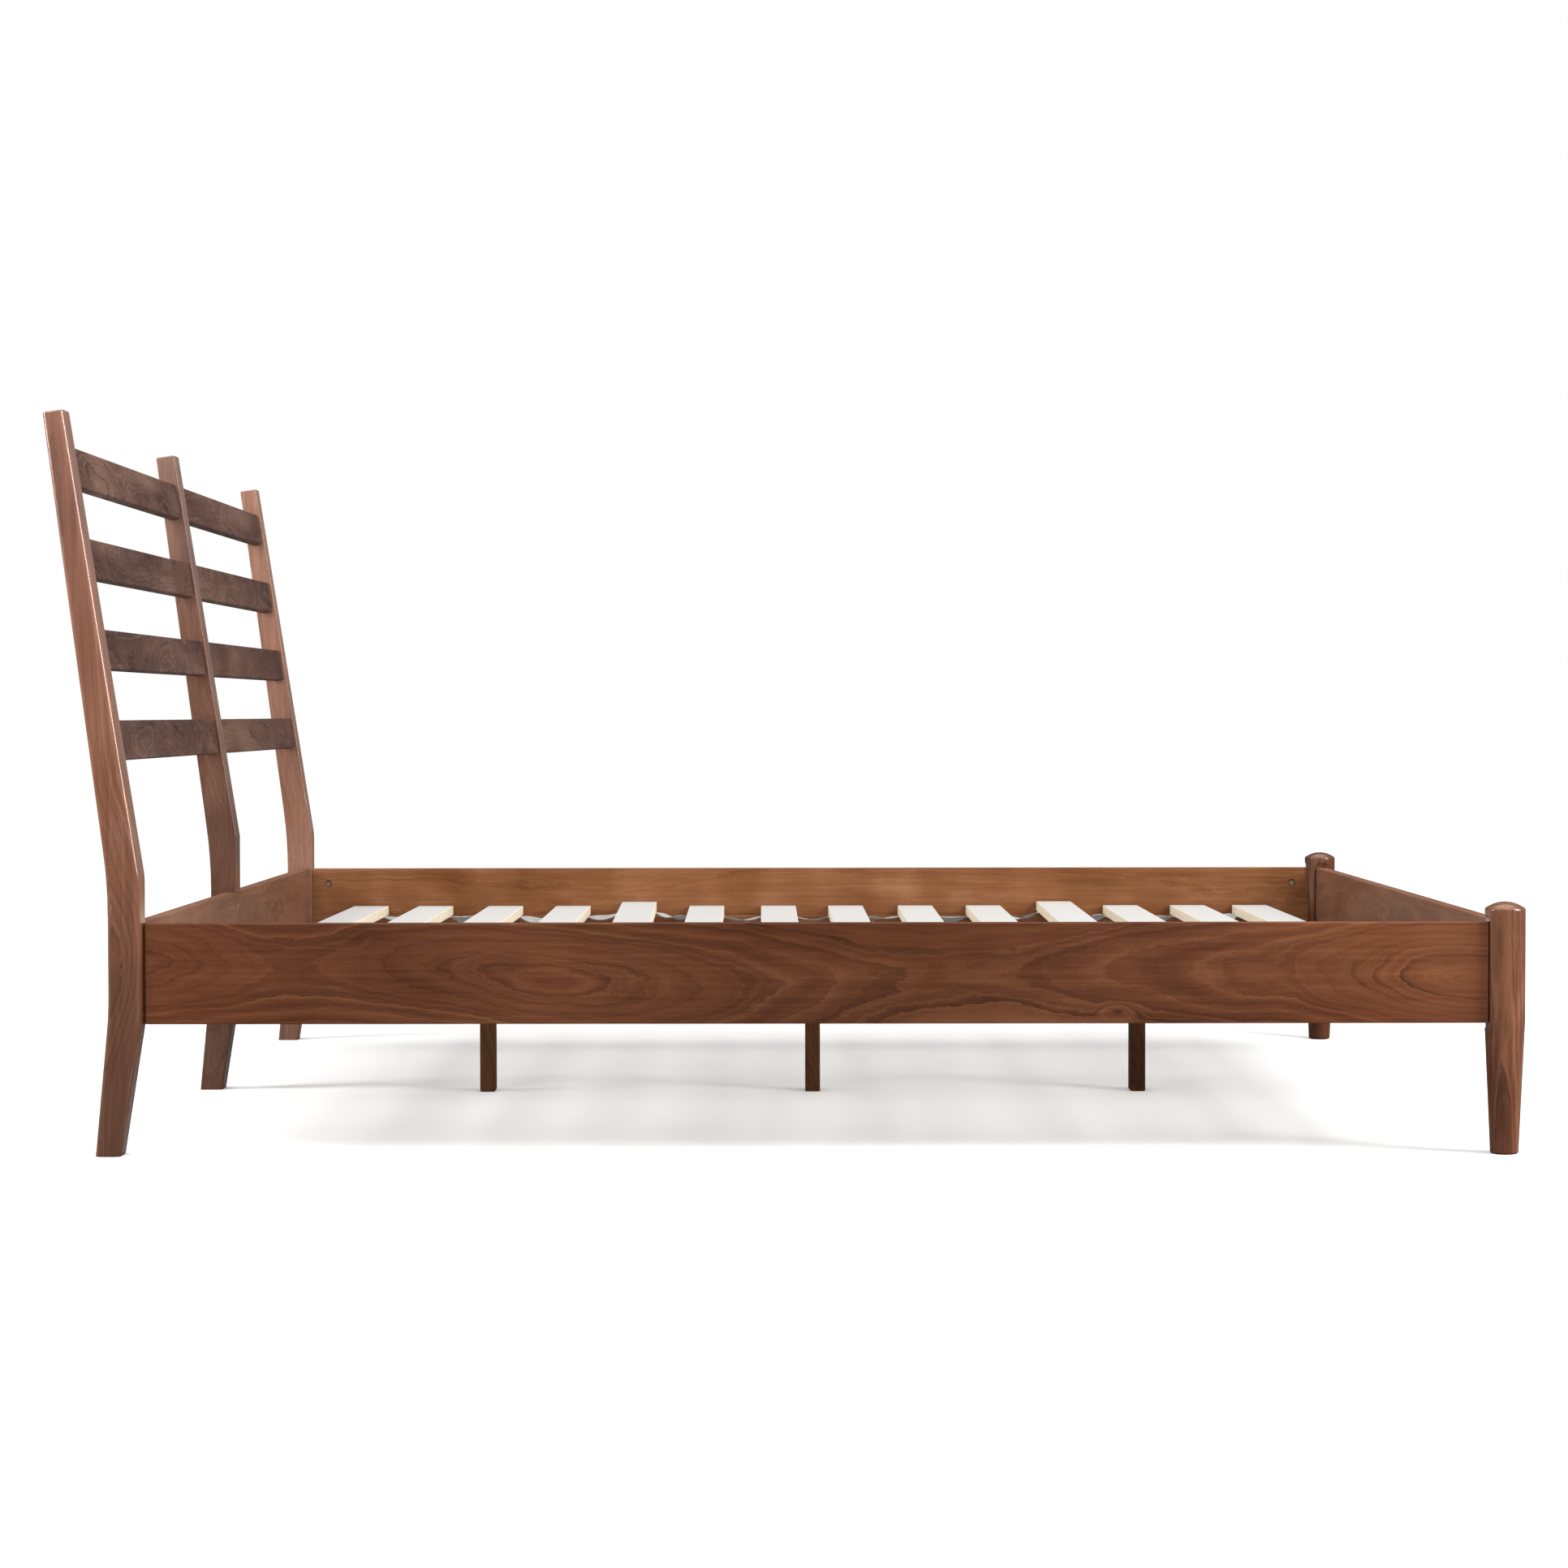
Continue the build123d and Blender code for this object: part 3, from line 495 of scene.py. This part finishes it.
# ---------------------------------------------------------------------------
# Slats: pale plywood cut in strips and laid across the bed.  The faces are
# near white birch veneer; the long edges show the plies with thin dark glue
# lines.
def plywood(name, face, core, glue, plies=9, thickness=0.019, base=0.0):
    """Face veneer above and below; the edges alternate long and short grain
    plies, told apart by height above the slat's underside."""
    finish = Finish(name)
    spot = finish.place()
    _, _, z = finish.split(spot)
    normal = finish.node("ShaderNodeNewGeometry", output="Normal")
    up = finish.split(normal)[2].maths("ABSOLUTE").ramp(0.6, 0.9)
    fleck = finish.noise(spot, (160.0, 5.0, 160.0), 3.0, 0.6)
    cloud = finish.noise(spot, (14.0, 2.0, 14.0), 2.0)
    level = (z - base) / thickness * plies + (finish.noise(spot, (9.0, 9.0, 9.0), 1.0) - 0.5) * 0.22
    ply = level.maths("FRACT")
    seam = 1.0 - ply.ramp(0.0, 0.16) * (1.0 - ply.ramp(0.86, 1.0))
    broken = finish.noise(spot, (22.0, 22.0, 500.0), 2.0, 0.7).ramp(0.44, 0.62)
    odd = (level * 0.5).maths("FRACT").ramp(0.49, 0.51)
    edge = finish.blend(odd * 0.5, core, tuple(0.8 * c for c in core))
    edge = finish.blend(fleck * 0.25, edge, tuple(0.72 * c for c in core))
    edge = finish.blend(seam * broken * 0.85, edge, glue)
    top = finish.blend(fleck.ramp(0.35, 0.8) * 0.10 + cloud * 0.06, face, tuple(0.8 * c for c in face))
    tint = finish.blend(up, edge, top)
    bump = finish.node("ShaderNodeBump", None, {"Strength": 0.15, "Distance": 0.0005,
                                                "Height": fleck - seam * broken * (1.0 - up)})
    finish.surface(Base_Color=tint, Roughness=0.55 + fleck * 0.15, Normal=bump)
    return finish.material


slat_face = linear(186, 184, 181)
slat_core = linear(240, 227, 203)
slat_glue = linear(120, 84, 56)
slat_names = [f"bed_slat_{number:02d}" for number in range(1, 15)]
raised = ("bed_slat_05", "bed_slat_11")
ledger_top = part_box("slat_ledger_left")[1].z
dress(plywood("slat_plywood", slat_face, slat_core, slat_glue, base=ledger_top),
      *(name for name in slat_names if name not in raised))
dress(plywood("raised_slat_plywood", slat_face, slat_core, slat_glue, base=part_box(raised[0])[0].z), *raised)
dress(plywood("packer_plywood", slat_core, slat_core, slat_glue, plies=4, thickness=0.008,
              base=ledger_top), "slat_packers")


# ---------------------------------------------------------------------------
# Webbing: two woven ribbons that space the slats, tacked to their undersides
# 50 mm in from the side rails.  Each lies flat under a slat and hangs slack to
# the next, with a little twist where the ribbon was never pulled straight.
def ribbon(name, stations, mid_y, width, thickness, sag, seed):
    """Woven ribbon as a closed strip swept along X.  Between stations (start,
    finish, level) the line dips as sin(pi t) and the ribbon rolls about its
    own line as sin(pi t) times a random angle; round the section the surface
    is an oblong with cosine ribs across its width, their height a share of
    the thickness."""
    draw = np.random.default_rng(seed)
    line = []
    for (start, finish, level), (following, _, next_level) in zip(stations, stations[1:] + [(None,) * 3]):
        line.append(np.stack([np.linspace(start, finish, 5)[:-1], np.full(4, level), np.zeros(4)], 1))
        if following is None:
            continue
        t = np.linspace(0, 1, 25)[:-1]
        dip = np.sin(np.pi * t)
        roll = draw.normal(0, 0.35) * dip ** 0.7 + draw.normal(0, 0.2) * np.sin(2 * np.pi * t)
        drop = sag * (1 + draw.uniform(-0.35, 0.55)) * dip
        line.append(np.stack([finish + (following - finish) * t,
                              level + (next_level - level) * t - drop, roll], 1))
    path = np.concatenate(line)
    points = 49
    rib_count = 12
    rib_height = 0.12
    across = np.concatenate([np.linspace(-0.5, 0.5, points), np.linspace(0.5, -0.5, points)[1:-1]])
    over = np.concatenate([np.zeros(points), np.full(points - 2, -1.0)])
    ribs = rib_height * np.cos(across * rib_count * 2 * np.pi) * np.where(over < 0, -1.0, 1.0)
    sideways = across[None, :] * width
    height = (over + np.clip(ribs, -1, 0))[None, :] * thickness
    turn = path[:, 2:3]
    y = mid_y + sideways * np.cos(turn) - height * np.sin(turn)
    z = path[:, 1:2] + sideways * np.sin(turn) + height * np.cos(turn)
    x = np.broadcast_to(path[:, 0:1], y.shape)
    rows, columns = y.shape
    vertices = np.stack([x, y, z], 2).reshape(-1, 3)
    first = np.arange(rows - 1)[:, None] * columns
    step = np.arange(columns)[None, :]
    after = (step + 1) % columns
    faces = np.stack([first + step, first + after, first + columns + after, first + columns + step], 2)
    faces = faces.reshape(-1, 4)
    caps = [list(range(columns)), list(range((rows - 1) * columns, rows * columns))[::-1]]
    mesh = bpy.data.meshes.new(name)
    mesh.from_pydata(vertices.tolist(), [], faces.tolist() + caps)
    mesh.validate()
    mesh.update()
    thing = bpy.data.objects.new(name, mesh)
    bpy.context.scene.collection.objects.link(thing)
    mesh.polygons.foreach_set("use_smooth", np.ones(len(mesh.polygons), bool))
    return thing


def webbing(name):
    """Light grey woven ribbon: fine ribs run along it, crossed by weft picks."""
    finish = Finish(name)
    rib_pitch = 0.0017
    pick_pitch = 0.0012
    x, y, _ = finish.split(finish.place())
    warp = (y * 2 * math.pi / rib_pitch).maths("SINE")
    weft = (x * 2 * math.pi / pick_pitch).maths("SINE")
    weave = warp * 0.5 + weft * warp * 0.35 + 0.5
    dust = finish.noise(finish.place(), (60.0, 60.0, 60.0), 2.0)
    tint = finish.blend(weave.ramp(0.0, 0.9), linear(122, 123, 124), linear(186, 187, 188))
    tint = finish.blend(dust * 0.2, tint, linear(170, 165, 155))
    bump = finish.node("ShaderNodeBump", None, {"Strength": 0.5, "Distance": 0.0004, "Height": weave})
    finish.surface(Base_Color=tint, Roughness=0.8, Normal=bump, Sheen_Weight=0.2)
    return finish.material


ribbon_cloth = webbing("webbing_cloth")
strap_width = 0.025
strap_thickness = 0.0016
strap_sag = 0.005
flat_half = 0.035
for side, seed in (("left", 11), ("right", 23)):
    low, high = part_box(f"slat_strap_{side}")
    mid_y = (low.y + high.y) / 2
    stations = []
    for name in slat_names:
        points = np.array([vertex.co for vertex in nodes[name].data.vertices])
        skew = np.polyfit(points[:, 1], points[:, 0], 1)[0]
        middle = points[:, 0].mean() + skew * (mid_y - points[:, 1].mean())
        stations.append((middle - flat_half, middle + flat_half, points[:, 2].min()))
    first, last = stations[0], stations[-1]
    stations[0] = (low.x, first[1], first[2])
    stations[-1] = (last[0], high.x, last[2])
    piece = ribbon(f"webbing_strap_{side}", stations, mid_y, strap_width, strap_thickness, strap_sag, seed)
    piece.data.materials.append(ribbon_cloth)
    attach(piece, "root")
    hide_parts(f"slat_strap_{side}")


# ---------------------------------------------------------------------------
# Metal fixings: nickel-plated barrel nuts in the rails, zinc-plated bolts,
# screws and tacks, and plain grey steel hangers at the beam ends.
def metal(name, colour, gloss, grain):
    """Bare or plated metal with fine marks and dulled blotches."""
    finish = Finish(name)
    spot = finish.place()
    blotch = finish.noise(spot, (90.0, 90.0, 90.0), 3.0, 0.6)
    brushed = finish.noise(spot, (grain, grain, grain * 8), 2.0, 0.6)
    tint = finish.blend(blotch.ramp(0.3, 0.75) * 0.45, colour, tuple(0.62 * c for c in colour))
    bump = finish.node("ShaderNodeBump", None, {"Strength": 0.2, "Distance": 0.0003, "Height": brushed})
    finish.surface(Base_Color=tint, Metallic=1.0, Roughness=gloss + blotch * 0.18, Normal=bump)
    return finish.material


dress(metal("nickel_plate", linear(214, 206, 190), 0.22, 700.0), "barrel_nuts")
dress(metal("zinc_plate", linear(196, 198, 200), 0.30, 900.0), "rail_bolts", "ledger_screws",
      "center_leg_screws", "bracket_screws", "center_post_screws", "strap_tacks")
dress(metal("hanger_steel", linear(170, 172, 176), 0.36, 400.0), "beam_bracket_head", "beam_bracket_foot")
